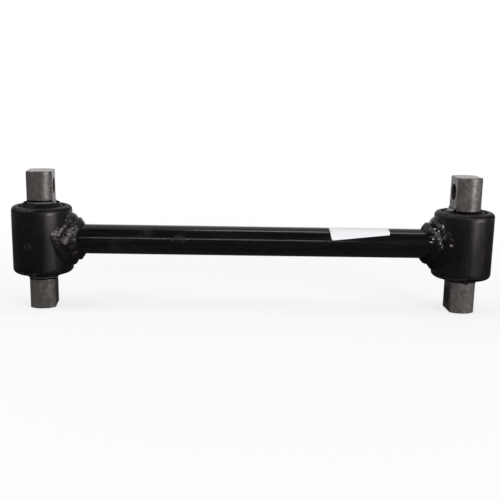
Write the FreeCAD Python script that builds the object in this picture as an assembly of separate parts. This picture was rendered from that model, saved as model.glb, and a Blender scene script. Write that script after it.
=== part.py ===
import FreeCAD, Part
import math
import os

# A radius rod: a steel tube with an eye sleeve welded across each end by a heavy bead.
# Each eye holds a rubber bush between two retaining washers, under lips that are rolled in,
# and a bar pin with a flatted, cross-drilled end above and below the eye.
# X runs along the rod, Z up along the bar pins. The origin is on the ground under the
# middle of the rod, which stands on the lower ends of its pins. Lengths are in millimetres.

# Rod tube
eye_centres = 544.5
tube_diameter = 38.1
tube_wall = 6.35
tube_root_gap = 0.4

# Eye sleeve, with a lip rolled in at each end
eye_diameter = 76.2
eye_wall = 6.35
eye_height = 86.4
lip_width = 8.7
lip_corner_radius = 5.8
lip_corner_turn = 72.0
lip_corner_steps = 3
lip_thickness = 3.6

# Retaining washer, which sits under each lip
washer_thickness = 3.4
washer_gap_to_pin = 2.0

# Rubber bush and bar pin
bush_wall = 9.525
pin_length = 176.2
pin_end_chamfer = 0.9
flat_depth = 6.35
flat_foot_above_lip = 7.9
flat_cutter_radius = 7.0
bolt_hole_diameter = 21.4
bolt_hole_from_end = 19.85
left_pin_turn = 6.0

# Weld bead round each end of the tube, laid in two passes
weld_leg_on_tube = 17.0
weld_toe_inset = 3.45
weld_lobe_height = 0.5
weld_valley_depth = 0.9
weld_toe_undercut = 0.3
weld_root_depth = 3.0
weld_sections = 6
weld_points = 20

# Blank label wrapped on the tube
label_length = 75.0
label_width = 25.0
label_thickness = 0.15
label_corner_radius = 3.0
label_from_right_eye = 135.2
label_centre_angle = 67.0
label_skew = 5.8

# Clearances
pin_running_clearance = 0.05
seat_clearance = 0.1
weld_clearance = 0.05
washer_rim_clearance = 0.25

eye_radius = eye_diameter / 2
tube_radius = tube_diameter / 2
eye_bore_radius = eye_radius - eye_wall
pin_radius = eye_bore_radius - bush_wall
lip_opening_radius = eye_radius - lip_width
lip_underside = eye_height / 2 - lip_thickness
washer_top = lip_underside - seat_clearance
washer_bottom = washer_top - washer_thickness
weld_toe_radius = eye_radius - weld_toe_inset
axis_height = pin_length / 2

ORIGIN = FreeCAD.Vector(0, 0, 0)
ALONG = FreeCAD.Vector(1, 0, 0)
ACROSS = FreeCAD.Vector(0, 1, 0)
UP = FreeCAD.Vector(0, 0, 1)
LEFT = -1
RIGHT = 1


def point(radius, height):
    """A point of a section that is turned about Z."""
    return FreeCAD.Vector(radius, 0, height)


def outline(corners):
    """The closed outline through a row of corners."""
    return Part.makePolygon(corners + corners[:1])


def turned(corners):
    """The solid swept by a section turned about Z."""
    return Part.Face(outline(corners)).revolve(ORIGIN, UP, 360)


def bar(radius, length, axis):
    """A round bar centred on the origin."""
    return Part.makeCylinder(radius, length, axis * (-length / 2), axis)


def eye_sleeve():
    """The sleeve, centred on the eye, with its wall rolled in to a lip at both ends."""
    corner_centre = eye_radius - lip_corner_radius
    full_turn = math.radians(lip_corner_turn)
    corner_start = eye_height / 2 - lip_corner_radius * math.sin(full_turn)
    upper_half = []
    for step in range(lip_corner_steps + 1):
        turn = full_turn * step / lip_corner_steps
        upper_half.append(point(corner_centre + lip_corner_radius * math.cos(turn),
                                corner_start + lip_corner_radius * math.sin(turn)))
    upper_half.append(point(lip_opening_radius, eye_height / 2))
    upper_half.append(point(lip_opening_radius, lip_underside))
    upper_half.append(point(eye_bore_radius, lip_underside))
    lower_half = [point(corner.x, -corner.z) for corner in reversed(upper_half)]
    return turned(upper_half + lower_half)


def ring(inner, outer, bottom, top):
    """A plain ring about Z."""
    return turned([point(inner, bottom), point(outer, bottom), point(outer, top), point(inner, top)])


def retaining_washer():
    """The washer of the upper end, at its height in the eye."""
    return ring(pin_radius + washer_gap_to_pin, eye_bore_radius - washer_rim_clearance,
                washer_bottom, washer_top)


def rubber_bush():
    """The bush, which fills the eye between the washers."""
    shoulder = washer_bottom - seat_clearance
    return ring(pin_radius + pin_running_clearance, eye_bore_radius - seat_clearance,
                -shoulder, shoulder)


def flat_cutter():
    """What is milled off the +X side of the upper end, with the cutter's run-out below."""
    top = pin_length / 2 + 1
    face = pin_radius - flat_depth
    foot = eye_height / 2 + flat_foot_above_lip
    reach = face + flat_cutter_radius
    bend = flat_cutter_radius * (1 - math.sqrt(0.5))
    run_out = Part.Arc(point(face, foot), point(face + bend, foot - flat_cutter_radius + bend),
                       point(reach, foot - flat_cutter_radius))
    sides = Part.makePolygon([run_out.EndPoint, point(reach, top), point(face, top), run_out.StartPoint])
    section = Part.Face(Part.Wire([run_out.toShape()] + sides.Edges))
    section.translate(ACROSS * -2 * pin_radius)
    return section.extrude(ACROSS * 4 * pin_radius)


def bar_pin():
    """The pin, centred on the eye: a round bar with two flats and a bolt hole at each end."""
    pin = bar(pin_radius, pin_length, UP)
    cutter = flat_cutter()
    for tool in (cutter, cutter.mirror(ORIGIN, ALONG)):
        pin = pin.cut(tool).cut(tool.mirror(ORIGIN, UP))
    end_edges = [edge for edge in pin.Edges if abs(abs(edge.CenterOfMass.z) - pin_length / 2) < 1e-6]
    pin = pin.makeChamfer(pin_end_chamfer, end_edges)
    bolt_hole = bar(bolt_hole_diameter / 2, 2 * pin_radius, ALONG)
    for side in (-1, 1):
        pin = pin.cut(bolt_hole.translated(UP * side * (pin_length / 2 - bolt_hole_from_end)))
    return pin


def weld_radius(distance, angle, lobes, phase):
    """How far the bead stands from the tube's axis, at a distance from the eye's axis.

    The bead rises steeply off the tube and then more slowly to its toe on the sleeve. It has
    a shallow valley between its two passes and low lobes round it where the welder paused.
    """
    toe_on_tube = eye_radius + weld_leg_on_tube
    toe_on_sleeve = math.sqrt(eye_radius ** 2 - (weld_toe_radius * math.cos(angle)) ** 2)
    along = max(0.0, (toe_on_tube - distance) / (toe_on_tube - toe_on_sleeve))
    fullness = 0.6 + 0.2 * math.cos(angle) ** 2
    height = (weld_toe_radius - tube_radius) * min(1.0, along) ** fullness - weld_toe_undercut
    valley = weld_valley_depth * math.exp(-((along - 0.6) / 0.16) ** 2)
    lobe = weld_lobe_height * math.sin(lobes * angle + phase + 1.5 * along) * min(1.0, 3 * along)
    return tube_radius + height - valley + lobe


def weld_bead(lobes, phase):
    """The bead of the right-hand end, measured from the eye's axis towards the tube."""
    toe = eye_radius + weld_leg_on_tube
    deepest = math.sqrt(eye_radius ** 2 - weld_toe_radius ** 2) - weld_root_depth
    sections = []
    for step in range(weld_sections):
        share = step / (weld_sections - 1)
        distance = toe - (toe - deepest) * share ** 1.6
        ring = []
        for index in range(weld_points):
            angle = 2 * math.pi * index / weld_points
            radius = weld_radius(distance, angle, lobes, phase)
            ring.append(FreeCAD.Vector(-distance, radius * math.cos(angle), radius * math.sin(angle)))
        curve = Part.BSplineCurve()
        curve.interpolate(ring, PeriodicFlag=True)
        sections.append(Part.Wire(curve.toShape()))
    bead = Part.makeLoft(sections, True, True)
    return bead.cut(bar(eye_radius + weld_clearance, 2 * eye_height, UP))


def rod_tube():
    """The tube, centred on the rod, coped to the eye sleeves and carrying both weld beads."""
    tube = bar(tube_radius, eye_centres, ALONG)
    cope = bar(eye_radius + tube_root_gap, 2 * eye_height, UP)
    to_right = ALONG * eye_centres / 2
    for to_eye in (-to_right, to_right):
        tube = tube.cut(cope.translated(to_eye))
    tube = tube.fuse(weld_bead(5, 0.4).translated(to_right))
    tube = tube.fuse(weld_bead(6, 2.1).mirror(ORIGIN, ALONG).translated(-to_right))
    return tube.cut(bar(tube_radius - tube_wall, eye_centres, ALONG))


def blank_label():
    """The label: a rounded, slightly skewed sheet wrapped on the upper front of the tube."""
    middle = math.radians(label_centre_angle)
    wrap = label_width / tube_radius
    chord = 2 * tube_radius * math.sin(wrap / 2)
    sheet = Part.makeBox(label_length, chord, tube_diameter,
                         FreeCAD.Vector(-label_length / 2, -chord / 2, 0))
    corners = [edge for edge in sheet.Edges if edge.BoundBox.ZLength > tube_radius]
    sheet = sheet.makeFillet(label_corner_radius, corners)
    sheet.rotate(ORIGIN, UP, label_skew)
    sheet.rotate(ORIGIN, ALONG, math.degrees(math.pi / 2 - middle))
    inner = tube_radius + seat_clearance
    shell = bar(inner + label_thickness, 2 * label_length, ALONG)
    shell = shell.cut(bar(inner, 2 * label_length, ALONG))
    return shell.common(sheet).translated(ALONG * (eye_centres / 2 - label_from_right_eye))


def save(name, shape):
    """Sets a piece at the rod's height above the ground and writes it."""
    placed = shape.translated(UP * axis_height)
    placed.exportStep(os.path.join("parts", name + ".step"))


def build():
    os.makedirs("parts", exist_ok=True)
    save("rod_tube", rod_tube())
    save("blank_label", blank_label())

    sleeve = eye_sleeve()
    upper_washer = retaining_washer()
    lower_washer = upper_washer.mirror(ORIGIN, UP)
    bush = rubber_bush()
    pin = bar_pin()
    for name, side, turn in (("left", LEFT, left_pin_turn), ("right", RIGHT, 0.0)):
        to_eye = ALONG * side * eye_centres / 2
        save(name + "_eye_sleeve", sleeve.translated(to_eye))
        save(name + "_upper_washer", upper_washer.translated(to_eye))
        save(name + "_lower_washer", lower_washer.translated(to_eye))
        save(name + "_rubber_bush", bush.translated(to_eye))
        save(name + "_bar_pin", pin.rotated(ORIGIN, UP, turn).translated(to_eye))


build()
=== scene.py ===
import math

import bpy
from mathutils import Matrix, Vector, noise

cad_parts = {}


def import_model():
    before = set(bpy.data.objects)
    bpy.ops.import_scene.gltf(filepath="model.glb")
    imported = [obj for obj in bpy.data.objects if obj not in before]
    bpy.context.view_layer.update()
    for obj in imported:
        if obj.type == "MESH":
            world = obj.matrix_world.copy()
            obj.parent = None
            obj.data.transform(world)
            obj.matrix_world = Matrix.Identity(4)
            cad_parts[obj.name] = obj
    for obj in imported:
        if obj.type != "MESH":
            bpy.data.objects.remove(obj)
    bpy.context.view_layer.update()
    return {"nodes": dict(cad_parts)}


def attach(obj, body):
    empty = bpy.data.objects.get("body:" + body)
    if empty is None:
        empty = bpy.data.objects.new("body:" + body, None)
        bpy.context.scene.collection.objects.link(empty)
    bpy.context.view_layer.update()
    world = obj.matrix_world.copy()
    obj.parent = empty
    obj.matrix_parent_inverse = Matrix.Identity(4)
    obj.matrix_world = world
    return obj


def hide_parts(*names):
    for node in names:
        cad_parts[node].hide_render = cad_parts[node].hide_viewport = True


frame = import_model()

# Sizes in metres. X runs along the rod and Z up. The ground is at zero.
AXIS_HEIGHT = 0.0881
EYE_X = 0.27225
EYE_RADIUS = 0.0381
EYE_HALF_HEIGHT = 0.0432
EYE_BORE = 0.03175
PIN_RADIUS = 0.022225
LIP_CORNER = 0.0058
LIP_OPENING = 0.0294
LIP_UNDERSIDE = 0.0396
WASHER_UNDERSIDE = 0.0359
WASHER_BORE = 0.0241
TUBE_RADIUS = 0.01905
HOLE_HEIGHT = 0.06825
HOLE_RADIUS = 0.0107
ROUND_SIDE_EDGE = 0.0156
LEFT_PIN_TURN = math.radians(6.0)
LEFT = -1
RIGHT = 1

# Weld bead. Heights are above the tube.
WELD_TOE = EYE_RADIUS + 0.017
WELD_TOE_RADIUS = 0.03465
WELD_SIDE_SHORTER = 0.008
WELD_UNDERCUT = 0.0003
WELD_FIRST_PASS = 0.0008
WELD_SECOND_PASS = 0.0010
WELD_CREASE = 0.0019
WELD_LOBE = 0.0006
WELD_DROP = 0.0013
WELD_SWELL = 0.0008
WELD_SCALE = 0.00011
WELD_GRAIN = 0.00012
WELD_SCALES_AROUND = 40

# Label
LABEL_X = 0.1355
LABEL_HALF_LENGTH = 0.0383
LABEL_WIDTH = 0.025
LABEL_CORNER = 0.003
LABEL_LIFT = 0.00018
LABEL_ANGLE = math.radians(67.0)
LABEL_SKEW = math.radians(6.4)

# Patches on the paint. Each is a centre and how far it reaches in X, Y and Z.
DUSTY_CLOUD = ((-0.0960, -0.0170, 0.0935), (0.0150, 0.02, 0.0085))
SLEEVE_SCUFF = ((-0.2820, -0.0365, 0.0835), (0.0065, 0.02, 0.0055))
SLEEVE_RUST = ((0.2890, -0.0330, 0.0775), (0.0045, 0.02, 0.0150))
# The right weld's network and glints below are painted highlights: pale marks standing in for glints of
# light.
RIGHT_WELD_PAINTED_GLINT_NETWORK = ((0.2355, -0.022, 0.1040), (0.0110, 0.03, 0.0105))
RIGHT_WELD_PAINTED_GLINTS = [
    ((0.2309, -0.020, 0.1100), (0.0018, 0.03, 0.0009)),
    ((0.2350, -0.020, 0.1080), (0.0009, 0.03, 0.0018)),
    ((0.2279, -0.020, 0.0978), (0.0015, 0.03, 0.0012)),
    ((0.2262, -0.020, 0.0938), (0.0030, 0.03, 0.0007)),
    ((0.2398, -0.022, 0.1145), (0.0009, 0.03, 0.0022)),
    ((0.2489, -0.028, 0.0917), (0.0008, 0.03, 0.0014))]

# Worn spots on the welds, each with its brightness as well.
LEFT_WELD_SPOTS = [
    ((-0.2385, -0.030, 0.0905), (0.0060, 0.03, 0.0075), 0.85),
    ((-0.2335, -0.026, 0.0990), (0.0045, 0.03, 0.0070), 0.55),
    ((-0.2525, -0.033, 0.1000), (0.0030, 0.02, 0.0040), 0.90),
    ((-0.2270, -0.024, 0.0905), (0.0040, 0.01, 0.0022), 0.75)]
RIGHT_WELD_SPOTS = [((0.2495, -0.034, 0.0918), (0.0030, 0.02, 0.0030), 0.8)]

# The room that reflections see, as brightness against plain white.
ROOM_BEFORE = 0.05
FLOOR_BEFORE = 0.06
ROOM_BEHIND = 0.9
ROOM_OVERHEAD = 0.5
ROOM_DIFFUSE = 0.56

# Camera
CAMERA_PLACE = (-0.022925, -0.97533, 0.274004)
CAMERA_YAW = math.radians(1.0789)
CAMERA_PITCH = math.radians(11.4584)
CAMERA_TILT = math.radians(1.0246)
CAMERA_LENS = 55.09


def mesh_object(name, points, faces):
    """A smooth-shaded object from points and faces."""
    mesh = bpy.data.meshes.new(name)
    mesh.from_pydata(points, [], faces)
    mesh.validate()
    mesh.shade_smooth()
    made = bpy.data.objects.new(name, mesh)
    bpy.context.scene.collection.objects.link(made)
    return made


def grid_faces(rows, columns, wrap):
    """Quads of a grid of points, row after row, closed round each row where wrap is true."""
    faces = []
    for row in range(rows - 1):
        for column in range(columns if wrap else columns - 1):
            beside = (column + 1) % columns
            faces.append((row * columns + column, row * columns + beside,
                          (row + 1) * columns + beside, (row + 1) * columns + column))
    return faces


def rough(place, scale, octaves=4):
    """Smooth noise about zero."""
    return noise.fractal(Vector(place) * scale, 1.0, 2.0, octaves)


def turned(name, side, profile, dent):
    """A ring about the eye's axis, from a closed row of radius and height.

    dent gives how far a point is pushed in, below zero, from its direction, radius and height.
    """
    around = 180
    points = []
    for radius, height in profile:
        for step in range(around):
            angle = 2 * math.pi * step / around
            out = Vector((math.cos(angle), math.sin(angle), 0))
            pushed = radius + min(dent(out, radius, height), 0.0)
            points.append(out * pushed + Vector((side * EYE_X, 0, AXIS_HEIGHT + height)))
    faces = grid_faces(len(profile), around, True)
    last = (len(profile) - 1) * around
    for step in range(around):
        beside = (step + 1) % around
        faces.append((last + step, last + beside, beside, step))
    return mesh_object(name, points, faces)


def mirrored(half):
    """A closed profile from its upper half."""
    return half + [(r, -z) for r, z in reversed(half[1:-1])]


def eye_sleeve(name, side):
    """The sleeve with its rolled lips, a little uneven as a pressed edge is."""
    wall_steps, roll_steps = 12, 20
    nose_inset, nose_drop = 0.0008, 0.0009
    edge_inset, edge_rise, edge_foot = 0.0004, 0.0007, 0.0001
    wall_dent, lip_dent, lip_shrink = 0.00012, 0.00022, 0.0001
    centre = EYE_RADIUS - LIP_CORNER
    start = EYE_HALF_HEIGHT - LIP_CORNER
    roll = math.acos((LIP_OPENING + nose_inset - centre) / LIP_CORNER)
    half = [(EYE_RADIUS, start * step / wall_steps) for step in range(wall_steps)]
    for step in range(roll_steps + 1):
        turn = roll * step / roll_steps
        half.append((centre + LIP_CORNER * math.cos(turn), start + LIP_CORNER * math.sin(turn)))
    nose = half[-1][1]
    half += [(LIP_OPENING, nose - nose_drop), (LIP_OPENING, LIP_UNDERSIDE + edge_rise),
             (LIP_OPENING + edge_inset, LIP_UNDERSIDE + edge_foot), (EYE_BORE, LIP_UNDERSIDE),
             (EYE_BORE, 0.0)]

    def dent(out, radius, height):
        push = wall_dent * rough((out.x, out.y, height * 20 + side * 5), 1.7)
        if abs(height) > start and radius > LIP_OPENING + 0.0005:
            push += lip_dent * rough((out.x * 3, out.y * 3, side * 9 + height * 30), 1.3) - lip_shrink
        return push

    made = turned(name + "_shell", side, mirrored(half), dent)
    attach(made, "rod")
    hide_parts(name)
    return made


def rubber_bush(name, side, swell):
    """The bush, whose rubber swells out of the lip's opening and laps up the pin."""
    clearance, unevenness = 0.0001, 0.0001
    collar_steps, collar_edge = 12, 0.0004
    collar_foot = 0.0397
    collar_inset, belly_inset, rim_inset = 0.0026, 0.0021, 0.0022
    belly_height, rim_height = 0.0405, 0.0416
    inner = PIN_RADIUS + clearance
    outer = EYE_BORE - clearance
    half = [(outer, 0.0), (outer, WASHER_UNDERSIDE), (WASHER_BORE, WASHER_UNDERSIDE),
            (WASHER_BORE, collar_foot), (LIP_OPENING - collar_inset, collar_foot),
            (LIP_OPENING - belly_inset, belly_height), (LIP_OPENING - rim_inset, rim_height)]
    rim, foot = half[-1]
    collar_width = rim - inner - collar_edge
    for step in range(1, collar_steps + 1):
        share = step / collar_steps
        half.append((rim - collar_edge - collar_width * share, foot + swell * share ** 0.9))
    half += [(inner, foot + swell - collar_edge), (inner, 0.0)]

    def dent(out, radius, height):
        if radius <= inner + 0.0003:
            return 0.0
        return unevenness * (rough((out.x * 2, out.y * 2, height * 60), 2.0) - 1)

    made = turned(name + "_rubber", side, mirrored(half), dent)
    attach(made, "rod")
    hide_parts(name)
    return made


def rod_tube():
    """The drawn tube between the welds."""
    half_length = EYE_X - EYE_RADIUS
    rows, around = 160, 128
    unevenness = 0.00006
    points = []
    for row in range(rows):
        x = half_length * (2 * row / (rows - 1) - 1)
        for step in range(around):
            angle = 2 * math.pi * step / around
            dent = unevenness * rough((x * 30, math.cos(angle), math.sin(angle)), 1.5)
            radius = TUBE_RADIUS + min(dent, 0.0)
            points.append((x, radius * math.cos(angle), AXIS_HEIGHT + radius * math.sin(angle)))
    made = mesh_object("tube_body", points, grid_faces(rows, around, True))
    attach(made, "rod")
    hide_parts("rod_tube")
    return made


def bulge(value, centre, width):
    """1 at the centre, falling off as a bell to either side."""
    return math.exp(-((value - centre) / width) ** 2)


def weld_height(along, angle, lobes, phase, seed, hollow):
    """The bead's height above the tube at a share of the way from the tube to the sleeve.

    It has two passes with a crease between them, lobes and drops where the metal froze, fine
    scales across, and grain. hollow is how much less metal its middle has.
    """
    fullness = 0.6 + 0.2 * math.cos(angle) ** 2
    base = (WELD_TOE_RADIUS - TUBE_RADIUS) * min(1.0, max(0.0, along)) ** fullness
    out = Vector((math.cos(angle), math.sin(angle), 0))
    wander = 0.07 * rough((out.x, out.y, seed), 1.6, 2)
    passes = WELD_FIRST_PASS * bulge(along, 0.30 + wander, 0.15)
    passes += WELD_SECOND_PASS * bulge(along, 0.80 + wander, 0.17)
    crease = WELD_CREASE * bulge(along, 0.55 + wander, 0.06)
    lobe = WELD_LOBE * math.sin(lobes * angle + phase + 1.5 * along)
    place = out * 1.5 + Vector((0, 0, along * 2.2 + seed))
    place += Vector((0.5, 0.4, 0.3)) * noise.noise(place * 1.1)
    nearest = noise.voronoi(place)[0]
    drops = WELD_DROP * (min(1.0, 1.8 * (nearest[1] - nearest[0])) ** 0.5 - 0.75)
    swell = WELD_SWELL * noise.noise(out * 2.3 + Vector((seed, 0, along * 1.5)))
    ripple = angle + 0.15 * (along - 0.5) ** 2 + 0.4 * wander
    scales = WELD_SCALE * math.sin(WELD_SCALES_AROUND * ripple)
    grain = WELD_GRAIN * rough(out + Vector((0, 0, along)), 15.0, 3)
    rising = min(1.0, max(0.0, 3.5 * along))
    slim = hollow * bulge(along, 0.58, 0.22)
    relief = passes - crease + lobe + drops + swell + scales + grain - slim
    return base - WELD_UNDERCUT + rising * relief


def weld_bead(name, side, lobes, phase, seed, hollow):
    """The heavy two-pass bead between the tube and the sleeve, longest above and below the tube."""
    rows, around = 110, 380
    first, last = -0.03, 1.07
    toe_wander = 0.0012
    points = []
    for row in range(rows):
        along = first + (last - first) * row / (rows - 1)
        for step in range(around):
            angle = 2 * math.pi * step / around
            toe = math.sqrt(EYE_RADIUS ** 2 - (WELD_TOE_RADIUS * math.cos(angle)) ** 2)
            wander = toe_wander * rough((math.cos(angle), math.sin(angle), seed), 2.2, 3)
            start = WELD_TOE - WELD_SIDE_SHORTER * abs(math.cos(angle)) ** 1.5
            distance = start + wander * max(0.0, 1 - 2 * along) - along * (start - toe)
            radius = TUBE_RADIUS + weld_height(along, angle, lobes, phase, seed, hollow)
            points.append((side * (EYE_X - distance), radius * math.cos(angle),
                           AXIS_HEIGHT + radius * math.sin(angle)))
    made = mesh_object(name, points, grid_faces(rows, around, True))
    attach(made, "rod")
    return made


def label():
    """The blank label wrapped on the tube."""
    rows, columns = 60, 40
    wrinkle = 0.00004
    half_width = LABEL_WIDTH / 2
    points = []
    for row in range(rows):
        for column in range(columns):
            u = LABEL_HALF_LENGTH * (2 * row / (rows - 1) - 1)
            v = half_width * (2 * column / (columns - 1) - 1)
            over_u = max(0.0, abs(u) - (LABEL_HALF_LENGTH - LABEL_CORNER))
            reach = half_width - LABEL_CORNER + math.sqrt(max(0.0, LABEL_CORNER ** 2 - over_u ** 2))
            v *= reach / half_width
            x = LABEL_X + u * math.cos(LABEL_SKEW) - v * math.sin(LABEL_SKEW)
            arc = u * math.sin(LABEL_SKEW) + v * math.cos(LABEL_SKEW)
            angle = LABEL_ANGLE + arc / TUBE_RADIUS
            lift = LABEL_LIFT + wrinkle * rough((u * 60, v * 60, 1.0), 1.0, 2)
            radius = TUBE_RADIUS + lift
            points.append((x, -radius * math.cos(angle), AXIS_HEIGHT + radius * math.sin(angle)))
    made = mesh_object("label_sheet", points, grid_faces(rows, columns, False))
    thick = made.modifiers.new("thickness", "SOLIDIFY")
    thick.thickness = 0.0001
    thick.offset = 0
    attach(made, "rod")
    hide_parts("blank_label")
    return made


class Graph:
    """A material's nodes. An input is named, or has an underscore and its number as its name."""

    def __init__(self, name):
        self.material = bpy.data.materials.new(name)
        self.material.use_nodes = True
        self.nodes = self.material.node_tree.nodes
        self.links = self.material.node_tree.links
        self.shader = self.nodes["Principled BSDF"]

    def add(self, kind, settings=None, **inputs):
        node = self.nodes.new(kind)
        for key, value in (settings or {}).items():
            setattr(node, key, value)
        self.feed(node, inputs)
        return node

    def feed(self, node, inputs):
        for key, value in inputs.items():
            socket = node.inputs[int(key[1:]) if key.startswith("_") else key]
            if isinstance(value, bpy.types.NodeSocket):
                self.links.new(value, socket)
            else:
                socket.default_value = value

    def noise(self, coords, scale, detail=4.0, roughness=0.55):
        made = self.add("ShaderNodeTexNoise", Scale=scale, Detail=detail, Roughness=roughness,
                        Vector=coords)
        return made.outputs["Fac"]

    def stretched(self, coords, scale):
        """Places multiplied by a scale for each axis, for noise drawn out along one of them."""
        made = self.add("ShaderNodeMapping", Vector=coords, Scale=scale)
        return made.outputs["Vector"]

    def span(self, value, low, high, to_low=0.0, to_high=1.0):
        """A smooth step from to_low, at low and before, to to_high, at high and after."""
        made = self.add("ShaderNodeMapRange", {"interpolation_type": "SMOOTHSTEP"}, Value=value)
        self.feed(made, {"_1": low, "_2": high, "_3": to_low, "_4": to_high})
        return made.outputs["Result"]

    def math(self, operation, first, second=0.0):
        made = self.add("ShaderNodeMath", {"operation": operation}, _0=first, _1=second)
        return made.outputs["Value"]

    def mix(self, share, first, second):
        """One colour blended into another."""
        made = self.add("ShaderNodeMix", {"data_type": "RGBA"}, _0=share, _6=first, _7=second)
        return made.outputs[2]

    def blend(self, share, first, second):
        """One number blended into another."""
        made = self.add("ShaderNodeMix", {"data_type": "FLOAT"}, _0=share, _2=first, _3=second)
        return made.outputs[0]

    def bump(self, height, strength, distance, normal=None):
        made = self.add("ShaderNodeBump", Height=height, Strength=strength, Distance=distance)
        if normal is not None:
            self.feed(made, {"Normal": normal})
        return made.outputs["Normal"]

    def coords(self):
        return self.add("ShaderNodeTexCoord").outputs["Object"]


def grey(value, warm=0.0):
    """A grey, or a warmer one with a little more red and less blue."""
    return (value * (1 + warm), value, value * (1 - warm), 1)


def near(g, place, centre, reach):
    """1 at a spot on the object, fading to 0 at its reach in X, Y and Z."""
    offset = g.add("ShaderNodeVectorMath", {"operation": "SUBTRACT"}, _0=place, _1=centre)
    share = g.add("ShaderNodeVectorMath", {"operation": "DIVIDE"}, _0=offset.outputs["Vector"], _1=reach)
    length = g.add("ShaderNodeVectorMath", {"operation": "LENGTH"}, _0=share.outputs["Vector"])
    return g.span(length.outputs["Value"], 0.35, 1.0, 1.0, 0.0)


def tube_paint():
    """Thin black gloss paint, with duller dusty patches and faint lengthwise streaks."""
    g = Graph("tube_paint")
    place = g.coords()
    streak = g.noise(g.stretched(place, (14, 260, 260)), 1.0, 4, 0.6)
    patches = g.span(g.noise(place, 24, 6, 0.62), 0.55, 0.68)
    left = g.span(g.add("ShaderNodeSeparateXYZ", Vector=place).outputs["X"], -0.06, -0.14)
    patches = g.math("MULTIPLY", patches, g.span(left, 0.0, 1.0, 0.1, 0.6))
    cloud = near(g, place, *DUSTY_CLOUD)
    cloud = g.math("MULTIPLY", cloud, g.span(g.noise(place, 130, 5, 0.65), 0.42, 0.60))
    patches = g.math("MAXIMUM", patches, cloud)
    specks = g.span(g.noise(place, 700, 2, 0.5), 0.70, 0.76)
    base = g.mix(g.span(streak, 0.35, 0.7), grey(0.0022, 0.02), grey(0.0048, 0.03))
    dusty = g.mix(g.math("MULTIPLY", patches, 0.5), base, (0.020, 0.0175, 0.0175, 1))
    colour = g.mix(g.math("MULTIPLY", specks, 0.25), dusty, (0.07, 0.06, 0.055, 1))
    rough_map = g.math("ADD", g.blend(patches, 0.13, 0.36), g.span(streak, 0.35, 0.7, 0.0, 0.05))
    peel = g.bump(g.noise(place, 260, 3), 0.05, 0.0003)
    g.feed(g.shader, {"Base Color": colour, "Roughness": rough_map,
                      "Normal": g.bump(streak, 0.05, 0.0003, peel)})
    g.shader.inputs["Specular IOR Level"].default_value = 0.42
    return g.material


def sleeve_paint():
    """The same paint on the sleeves, with a purplish sheen, a scuff and a few rusty specks.

    The lips are chipped, and a painted dark reflection, a near-black line, runs round the +X half
    of each lip's foot.
    """
    g = Graph("sleeve_paint")
    place = g.coords()
    clouds = g.noise(place, 34, 5, 0.6)
    fine = g.noise(place, 330, 5, 0.62)
    sheen = g.noise(g.stretched(place, (120, 120, 16)), 1.0, 3, 0.6)
    base = g.mix(g.span(clouds, 0.35, 0.7), (0.0020, 0.0019, 0.0020, 1), (0.0052, 0.0044, 0.0050, 1))
    dust = g.span(fine, 0.56, 0.75)
    colour = g.mix(g.math("MULTIPLY", dust, 0.22), base, (0.034, 0.030, 0.030, 1))
    scuff = near(g, place, *SLEEVE_SCUFF)
    scuff = g.math("MULTIPLY", scuff, g.span(g.noise(place, 480, 4, 0.7), 0.50, 0.62))
    colour = g.mix(g.math("MULTIPLY", scuff, 0.8), colour, (0.10, 0.085, 0.08, 1))
    rust = near(g, place, *SLEEVE_RUST)
    rust = g.math("MULTIPLY", rust, g.span(g.noise(place, 420, 4, 0.7), 0.54, 0.62))
    colour = g.mix(g.math("MULTIPLY", rust, 0.8), colour, (0.105, 0.070, 0.040, 1))
    split = g.add("ShaderNodeSeparateXYZ", Vector=place)
    nearer_eye = g.span(split.outputs["X"], -0.01, 0.01, -EYE_X, EYE_X)
    from_eye = g.math("SUBTRACT", split.outputs["X"], nearer_eye)
    height = g.math("SUBTRACT", split.outputs["Z"], AXIS_HEIGHT)
    from_middle = g.math("ABSOLUTE", height)
    lip_foot, dark_line_height = 0.0370, 0.0402
    chips = g.span(g.noise(place, 560, 4, 0.65), 0.56, 0.64)
    chips = g.math("MULTIPLY", chips, g.span(from_middle, lip_foot, lip_foot + 0.0025))
    chips = g.math("MULTIPLY", chips, g.span(from_eye, -0.006, 0.004, 0.75, 0.2))
    colour = g.mix(chips, colour, (0.120, 0.108, 0.108, 1))
    # Painted dark reflection: a near-black line round the +X half of each lip, which also takes the
    # shine away there.
    from_dark_line = g.math("ABSOLUTE", g.math("SUBTRACT", from_middle, dark_line_height))
    crease = g.span(from_dark_line, 0.0003, 0.0009, 1.0, 0.0)
    crease = g.math("MULTIPLY", crease, g.span(from_eye, -0.005, 0.003))
    colour = g.mix(crease, colour, (0.0008, 0.0008, 0.0008, 1))
    rough_map = g.math("ADD", g.span(sheen, 0.3, 0.7, 0.27, 0.37), g.math("MULTIPLY", dust, 0.08))
    duller = g.span(from_middle, lip_foot - 0.0008, lip_foot + 0.0014, 0.0, 0.20)
    rough_map = g.math("ADD", rough_map, duller)
    peel = g.bump(g.noise(place, 420, 3), 0.10, 0.0003)
    sag = g.bump(clouds, 0.10, 0.0010, peel)
    shine = g.math("MULTIPLY", g.span(height, -0.005, 0.030, 0.42, 0.72),
                   g.span(from_middle, lip_foot - 0.0015, lip_foot + 0.0005, 1.0, 0.5))
    shine = g.math("MULTIPLY", shine, g.math("SUBTRACT", 1.0, crease))
    g.feed(g.shader, {"Base Color": colour, "Roughness": rough_map, "Normal": sag,
                      "Specular Tint": (1.0, 0.90, 0.96, 1), "Specular IOR Level": shine})
    return g.material


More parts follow.
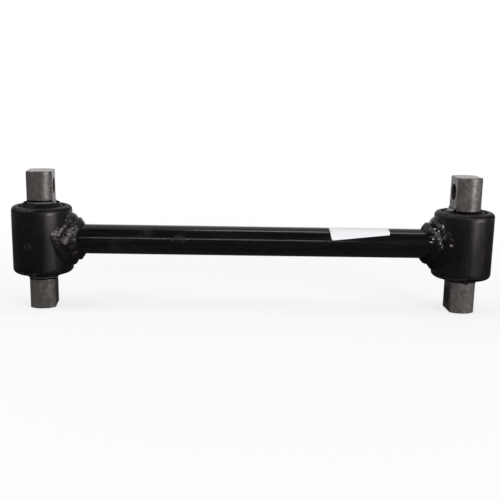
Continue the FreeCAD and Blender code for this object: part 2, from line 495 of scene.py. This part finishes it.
def weld_paint(name, gloss, lumpy, spots, glint_network=None, painted_glints=()):
    """Paint over rough weld metal, worn in spots.

    It may carry painted highlights: a fine pale network at one place and a few small pale glints.
    The low half faces the dim floor and hardly shines.
    """
    g = Graph(name)
    place = g.coords()
    fine = g.noise(place, 520, 5, 0.65)
    broken = g.span(g.noise(place, 210, 5, 0.72), 0.42, 0.56)
    bare = g.math("MULTIPLY", g.span(g.noise(place, 170, 4, 0.6), 0.64, 0.72), 0.35)
    for centre, reach, level in spots:
        spot = g.math("MULTIPLY", near(g, place, centre, reach), g.math("MULTIPLY", broken, level))
        bare = g.math("MAXIMUM", bare, spot)
    base = g.mix(fine, (0.0026, 0.0020, 0.0026, 1), (0.0080, 0.0062, 0.0070, 1))
    grit = g.mix(g.noise(place, 640, 4, 0.6), (0.050, 0.036, 0.036, 1), (0.250, 0.195, 0.190, 1))
    colour = g.mix(bare, base, grit)
    height = g.add("ShaderNodeSeparateXYZ", Vector=place).outputs["Z"]
    low = g.span(height, AXIS_HEIGHT - 0.003, AXIS_HEIGHT + 0.003, 1.0, 0.0)
    # Painted highlights: pale glints, and a pale network of threads at one place, where light would
    # glint off the bead.
    painted_glint = 0.0
    for centre, reach in painted_glints:
        painted_glint = g.math("MAXIMUM", painted_glint, near(g, place, centre, reach))
    painted_glint = g.math("MULTIPLY", painted_glint, g.span(fine, 0.35, 0.55, 0.4, 1.0))
    if glint_network:
        glint_threads = g.span(g.noise(place, 430, 5, 0.7), 0.53, 0.62, 0.0, 0.45)
        painted_glint = g.math("MAXIMUM", painted_glint, g.math("MULTIPLY", near(g, place, *glint_network), glint_threads))
    colour = g.mix(painted_glint, colour, (0.60, 0.57, 0.60, 1))
    rough_map = g.blend(bare, g.blend(low, gloss, 0.45), 0.5)
    coarse = g.bump(g.noise(place, 230, 4, 0.6), lumpy, 0.0012)
    grain = g.bump(fine, g.span(bare, 0.0, 1.0, 0.06, 0.5), 0.0004, coarse)
    g.feed(g.shader, {"Base Color": colour, "Roughness": rough_map, "Normal": grain,
                      "Specular Tint": (1.0, 0.92, 0.97, 1),
                      "Specular IOR Level": g.blend(low, 0.5, 0.06)})
    return g.material


def pin_steel(name, centre_x, turn, upper_raw, upper_flat_raw, lower_raw, drip, worn, paleness_for_highlight):
    """Raw drawn bar, mottled and streaked lengthwise, with paint pooled at its roots.

    Heights are above the eye's middle. The raw steel of the round side ends at a pooled black
    line with worn paint behind it, which may hang in a drip. The flats are raw down to a height
    of their own. The last argument makes the steel paler, as painted light: the right pin is
    given paler steel so that its highlight comes out brighter.
    """
    line_width = 0.0023
    drip_x, drip_half_width = 0.0025, 0.0019
    g = Graph(name)
    place = g.coords()
    split = g.add("ShaderNodeSeparateXYZ", Vector=place)
    away = g.math("SUBTRACT", split.outputs["X"], centre_x)
    across = g.math("ADD", g.math("MULTIPLY", away, math.cos(turn)),
                    g.math("MULTIPLY", split.outputs["Y"], math.sin(turn)))
    beside = g.math("SUBTRACT", g.math("MULTIPLY", split.outputs["Y"], math.cos(turn)),
                    g.math("MULTIPLY", away, math.sin(turn)))
    height = g.math("SUBTRACT", split.outputs["Z"], AXIS_HEIGHT)
    wobble = g.math("MULTIPLY", g.math("SUBTRACT", g.noise(place, 110, 3), 0.5), 0.0009)
    rise = g.math("ADD", height, wobble)
    run = g.math("DIVIDE", g.math("SUBTRACT", across, drip_x), drip_half_width)
    hang = g.math("POWER", math.e, g.math("MULTIPLY", g.math("MULTIPLY", run, run), -1.0))
    low_rise = g.math("ADD", rise, g.math("MULTIPLY", hang, drip))
    round_side = g.span(g.math("ABSOLUTE", across), ROUND_SIDE_EDGE - 0.0004, ROUND_SIDE_EDGE + 0.0004,
                        1.0, 0.0)

    streak = g.noise(g.stretched(place, (800, 800, 36)), 1.0, 4, 0.6)
    mottle = g.noise(place, 150, 6, 0.65)
    pits = g.span(g.noise(place, 480, 3, 0.6), 0.60, 0.72)
    # Painted light: all the steel tones are scaled by the last argument, and the right pin gets paler
    # steel so its highlight comes out brighter.
    steel = g.mix(g.span(mottle, 0.3, 0.7), (0.080 * paleness_for_highlight, 0.070 * paleness_for_highlight, 0.066 * paleness_for_highlight, 1),
                  (0.145 * paleness_for_highlight, 0.131 * paleness_for_highlight, 0.126 * paleness_for_highlight, 1))
    steel = g.mix(g.math("MULTIPLY", g.span(streak, 0.35, 0.7), 0.4), steel,
                  (0.200 * paleness_for_highlight, 0.185 * paleness_for_highlight, 0.180 * paleness_for_highlight, 1))
    steel = g.mix(g.math("MULTIPLY", pits, 0.6), steel, (0.050, 0.038, 0.032, 1))
    # Painted shade: the flats, off the round side, are darkened nearly to black.
    steel = g.mix(g.span(round_side, 0.0, 1.0, 0.80, 0.0), steel, (0.011, 0.0095, 0.0100, 1))

    def above(value, level):
        edge = g.math("SUBTRACT", value, level)
        return g.span(edge, -0.0002, 0.0002)

    def below(value, level):
        edge = g.math("SUBTRACT", value, level)
        return g.span(edge, -0.0002, 0.0002, 1.0, 0.0)

    upper = g.blend(round_side, upper_flat_raw, upper_raw)
    bare = g.math("MAXIMUM", above(rise, upper), below(low_rise, lower_raw))
    pooled = g.math("MAXIMUM", above(rise, g.math("SUBTRACT", upper, line_width)),
                    below(low_rise, lower_raw + line_width))
    line = g.math("SUBTRACT", pooled, bare)
    worn_here = g.math("MULTIPLY", round_side, worn)
    thin = g.mix(g.math("MULTIPLY", g.span(mottle, 0.2, 0.6), worn_here), (0.0035, 0.0028, 0.0032, 1),
                 (0.130, 0.118, 0.116, 1))
    colour = g.mix(line, g.mix(bare, thin, steel), (0.0020, 0.0018, 0.0018, 1))
    # Painted shade: the walls of each cross hole are given a darker steel colour than the outside.
    over = g.math("SUBTRACT", g.math("ABSOLUTE", height), HOLE_HEIGHT)
    squares = g.math("ADD", g.math("MULTIPLY", beside, beside), g.math("MULTIPLY", over, over))
    from_hole = g.math("SQRT", squares)
    bore_shade = g.span(from_hole, HOLE_RADIUS, HOLE_RADIUS + 0.0004, 1.0, 0.0)
    colour = g.mix(bore_shade, colour, g.mix(mottle, (0.040, 0.031, 0.028, 1), (0.160, 0.130, 0.118, 1)))
    rough_map = g.blend(bare, 0.25, g.span(mottle, 0.3, 0.7, 0.22, 0.31))
    relief = g.bump(g.noise(place, 420, 5, 0.6), 0.30, 0.0003)
    lines = g.bump(streak, 0.06, 0.0002, relief)
    edge = g.bump(bare, 0.25, 0.0002, lines)
    g.feed(g.shader, {"Base Color": colour, "Roughness": rough_map, "Normal": edge,
                      "Metallic": g.math("MULTIPLY", bare, 0.6), "Specular Tint": (1.0, 0.95, 0.97, 1),
                      "Specular IOR Level": g.blend(bare, g.blend(line, 0.25, 0.04), 0.5)})
    return g.material


def washer_paint():
    """Thin, clouded paint on the washers."""
    g = Graph("washer_paint")
    place = g.coords()
    fine = g.noise(place, 260, 5, 0.6)
    clouds = g.span(g.noise(place, 60, 4, 0.6), 0.4, 0.65)
    colour = g.mix(clouds, grey(0.010, 0.02), g.mix(fine, grey(0.022, 0.03), grey(0.060, 0.03)))
    g.feed(g.shader, {"Base Color": colour, "Roughness": g.span(fine, 0.3, 0.7, 0.3, 0.5),
                      "Normal": g.bump(fine, 0.2, 0.0003)})
    return g.material


def bush_rubber():
    """Dull rubber with a little overspray, and a painted highlight at its top edge by the pin."""
    g = Graph("bush_rubber")
    place = g.coords()
    fine = g.noise(place, 700, 4, 0.6)
    clouds = g.span(g.noise(place, 110, 4, 0.6), 0.42, 0.62)
    height = g.add("ShaderNodeSeparateXYZ", Vector=place).outputs["Z"]
    from_middle = g.math("ABSOLUTE", g.math("SUBTRACT", height, AXIS_HEIGHT))
    # Overspray and painted highlight: lighter in patches, strongly at the top edge by the pin where it
    # catches light, faintly elsewhere.
    worn = g.math("MULTIPLY", clouds, g.span(from_middle, 0.0466, 0.0474, 0.10, 1.0))
    clean = g.mix(fine, grey(0.0012), grey(0.0035))
    dusty = g.mix(fine, grey(0.015, 0.02), grey(0.035, 0.02))
    colour = g.mix(worn, clean, dusty)
    g.feed(g.shader, {"Base Color": colour, "Roughness": g.span(fine, 0.3, 0.7, 0.4, 0.6),
                      "Normal": g.bump(fine, 0.25, 0.0002)})
    g.shader.inputs["Specular IOR Level"].default_value = 0.10
    return g.material


def label_film():
    """White film, a little uneven."""
    g = Graph("label_film")
    place = g.coords()
    fine = g.noise(place, 300, 4, 0.6)
    g.feed(g.shader, {"Base Color": g.mix(fine, (0.66, 0.66, 0.69, 1), (0.74, 0.74, 0.76, 1)),
                      "Roughness": g.span(fine, 0.3, 0.7, 0.38, 0.5),
                      "Normal": g.bump(g.noise(place, 90, 3), 0.12, 0.0003)})
    return g.material


def give(made, material):
    """Makes this the object's only material."""
    made.data.materials.clear()
    made.data.materials.append(material)


def floor():
    """A wide pale floor that fades to plain white away from the object.

    Reflections see it bright behind the object and dim before it, as the room behind a
    camera is dim.
    """
    half = 30.0
    corners = [(-half, -half, 0), (half, -half, 0), (half, half, 0), (-half, half, 0)]
    made = mesh_object("floor", corners, [(0, 1, 2, 3)])
    g = Graph("floor_pale")
    place = g.coords()
    away = g.add("ShaderNodeVectorMath", {"operation": "LENGTH"}, _0=place).outputs["Value"]
    far = g.span(away, 0.30, 0.8, 0.75, 1.0)
    path = g.add("ShaderNodeLightPath")
    mirrored = g.math("MAXIMUM", path.outputs["Is Glossy Ray"], path.outputs["Is Transmission Ray"])
    depth = g.add("ShaderNodeSeparateXYZ", Vector=place).outputs["Y"]
    behind = g.span(depth, 0.5, 1.5, FLOOR_BEFORE, ROOM_BEHIND)
    strength = g.blend(path.outputs["Is Camera Ray"], behind, 1.0)
    glow = g.add("ShaderNodeEmission", Color=(1, 1, 1, 1), Strength=strength)
    g.feed(g.shader, {"Base Color": (0.9, 0.9, 0.9, 1), "Roughness": 0.9})
    g.shader.inputs["Specular IOR Level"].default_value = 0.0
    share = g.math("MAXIMUM", g.math("MULTIPLY", far, path.outputs["Is Camera Ray"]), mirrored)
    both = g.add("ShaderNodeMixShader", _0=share, _1=g.shader.outputs["BSDF"],
                 _2=glow.outputs["Emission"])
    g.links.new(both.outputs["Shader"], g.nodes["Material Output"].inputs["Surface"])
    give(made, g.material)


def world():
    """White to the camera. Reflections see a room, brighter above and behind than before the object."""
    made = bpy.data.worlds.new("studio")
    bpy.context.scene.world = made
    made.use_nodes = True
    nodes, links = made.node_tree.nodes, made.node_tree.links
    nodes.clear()

    def add(kind, **settings):
        node = nodes.new(kind)
        for key, value in settings.items():
            setattr(node, key, value)
        return node

    def maths(operation, first, second):
        node = add("ShaderNodeMath", operation=operation)
        for socket, value in zip(node.inputs, (first, second)):
            if isinstance(value, bpy.types.NodeSocket):
                links.new(value, socket)
            else:
                socket.default_value = value
        return node.outputs[0]

    def span(value, low, high, to_low, to_high):
        node = add("ShaderNodeMapRange", interpolation_type="SMOOTHSTEP")
        links.new(value, node.inputs[0])
        for socket, number in zip(node.inputs[1:5], (low, high, to_low, to_high)):
            socket.default_value = number
        return node.outputs[0]

    toward = add("ShaderNodeTexCoord").outputs["Generated"]
    split = add("ShaderNodeSeparateXYZ")
    links.new(toward, split.inputs[0])
    overhead = maths("MULTIPLY", span(split.outputs["Z"], 0.25, 0.6, 0.0, ROOM_OVERHEAD),
                     span(split.outputs["Y"], 0.02, 0.15, 0.0, 1.0))
    behind = span(split.outputs["Y"], 0.6, 0.95, 0.0, ROOM_BEHIND)
    level = maths("ADD", ROOM_BEFORE, maths("MAXIMUM", overhead, behind))
    path = add("ShaderNodeLightPath")
    glossy = maths("MAXIMUM", path.outputs["Is Glossy Ray"], path.outputs["Is Transmission Ray"])
    plain = maths("MULTIPLY", maths("SUBTRACT", 1.0, glossy), ROOM_DIFFUSE)
    other = maths("ADD", maths("MULTIPLY", glossy, level), plain)
    seen = path.outputs["Is Camera Ray"]
    strength = maths("ADD", seen, maths("MULTIPLY", maths("SUBTRACT", 1.0, seen), other))
    background = add("ShaderNodeBackground")
    background.inputs["Color"].default_value = (1, 1, 1, 1)
    links.new(strength, background.inputs["Strength"])
    out = add("ShaderNodeOutputWorld")
    links.new(background.outputs[0], out.inputs["Surface"])


def softbox(name, azimuth, elevation, distance, width, height, radiance, shift=0.0):
    """A rectangular lamp aimed at the rod. Azimuth goes from -Y towards +X, and shift is along X."""
    lamp = bpy.data.lights.new(name, "AREA")
    lamp.shape = "RECTANGLE"
    lamp.size, lamp.size_y = width, height
    lamp.energy = radiance * math.pi * width * height
    made = bpy.data.objects.new(name, lamp)
    turn, lift = math.radians(azimuth), math.radians(elevation)
    away = Vector((math.sin(turn) * math.cos(lift), -math.cos(turn) * math.cos(lift), math.sin(lift)))
    made.location = Vector((shift, 0, AXIS_HEIGHT)) + away * distance
    made.rotation_mode = "QUATERNION"
    made.rotation_quaternion = away.to_track_quat("Z", "Y")
    made.visible_camera = False
    bpy.context.scene.collection.objects.link(made)


def camera():
    """The photograph's viewing angle, fitted to the object's edges."""
    data = bpy.data.cameras.new("photo_camera")
    data.sensor_width = 36.0
    data.lens = CAMERA_LENS
    data.clip_start = 0.01
    made = bpy.data.objects.new("photo_camera", data)
    level = math.cos(CAMERA_PITCH)
    forward = Vector((math.sin(CAMERA_YAW) * level, math.cos(CAMERA_YAW) * level,
                      -math.sin(CAMERA_PITCH)))
    right = Vector((math.cos(CAMERA_YAW), -math.sin(CAMERA_YAW), 0))
    up = right.cross(forward)
    across = right * math.cos(CAMERA_TILT) + up * math.sin(CAMERA_TILT)
    upward = up * math.cos(CAMERA_TILT) - right * math.sin(CAMERA_TILT)
    turn = Matrix((across, upward, -forward)).transposed()
    made.matrix_world = Matrix.Translation(CAMERA_PLACE) @ turn.to_4x4()
    bpy.context.scene.collection.objects.link(made)
    bpy.context.scene.camera = made


bpy.context.scene.view_settings.view_transform = "Standard"

give(rod_tube(), tube_paint())
on_sleeves = sleeve_paint()
for name, side in (("left", LEFT), ("right", RIGHT)):
    give(eye_sleeve(name + "_eye_sleeve", side), on_sleeves)
give(weld_bead("left_weld", LEFT, lobes=6, phase=2.1, seed=7.0, hollow=0.0),
     weld_paint("left_weld_paint", 0.36, 0.20, LEFT_WELD_SPOTS))
give(weld_bead("right_weld", RIGHT, lobes=5, phase=0.4, seed=3.0, hollow=0.0018),
     weld_paint("right_weld_paint", 0.12, 0.7, RIGHT_WELD_SPOTS, RIGHT_WELD_PAINTED_GLINT_NETWORK, RIGHT_WELD_PAINTED_GLINTS))
give(label(), label_film())

rubber = bush_rubber()
give(rubber_bush("left_rubber_bush", LEFT, swell=0.0058), rubber)
give(rubber_bush("right_rubber_bush", RIGHT, swell=0.0022), rubber)
washers = washer_paint()
for side in ("left", "right"):
    for end in ("upper", "lower"):
        give(frame["nodes"][side + "_" + end + "_washer"], washers)
give(frame["nodes"]["left_bar_pin"],
     pin_steel("left_pin_steel", -EYE_X, LEFT_PIN_TURN, upper_raw=0.0517, upper_flat_raw=0.0497,
               lower_raw=-0.0504, drip=0.0, worn=0.85, paleness_for_highlight=1.05))
give(frame["nodes"]["right_bar_pin"],
     pin_steel("right_pin_steel", EYE_X, 0.0, upper_raw=0.0456, upper_flat_raw=0.0490,
               lower_raw=-0.0475, drip=0.0024, worn=0.15, paleness_for_highlight=1.35))

floor()
world()
softbox("key", 43, 11, distance=3.5, width=1.70, height=1.4, radiance=11.0)
softbox("overhead_strip", 180, 84, distance=1.3, width=1.0, height=0.16, radiance=4.5, shift=0.35)
softbox("front_strip", 0, 20, distance=1.6, width=0.85, height=0.09, radiance=6.0, shift=-0.1)
softbox("left_lamp", -75, 45, distance=1.5, width=0.45, height=0.55, radiance=6.0)
camera()
